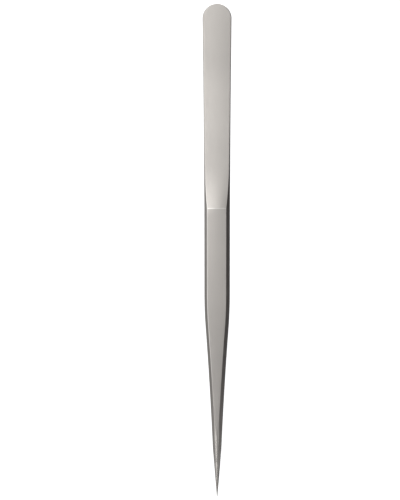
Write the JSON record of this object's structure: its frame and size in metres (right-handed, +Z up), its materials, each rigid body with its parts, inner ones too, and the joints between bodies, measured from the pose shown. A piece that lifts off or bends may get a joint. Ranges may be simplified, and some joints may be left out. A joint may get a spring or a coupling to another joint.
{
  "type": "long tip tweezers",
  "caption": "Slim straight tweezers: flat spring arms joined at a rounded heel, swelling to bevelled blades that narrow to long round needle points.",
  "frame": {"origin": "on the surface the tweezers lie on, half way along and on the centre line", "axes": "+X from the heel to the tips, +Z up from the surface; the arms open along Z"},
  "size_m": [0.14, 0.0082, 0.0095],
  "materials": {
    "steel": "satin"
  },
  "bodies": {
    "root": {"upper_arm": "steel", "lower_arm": "steel"}
  },
  "joints": []
}
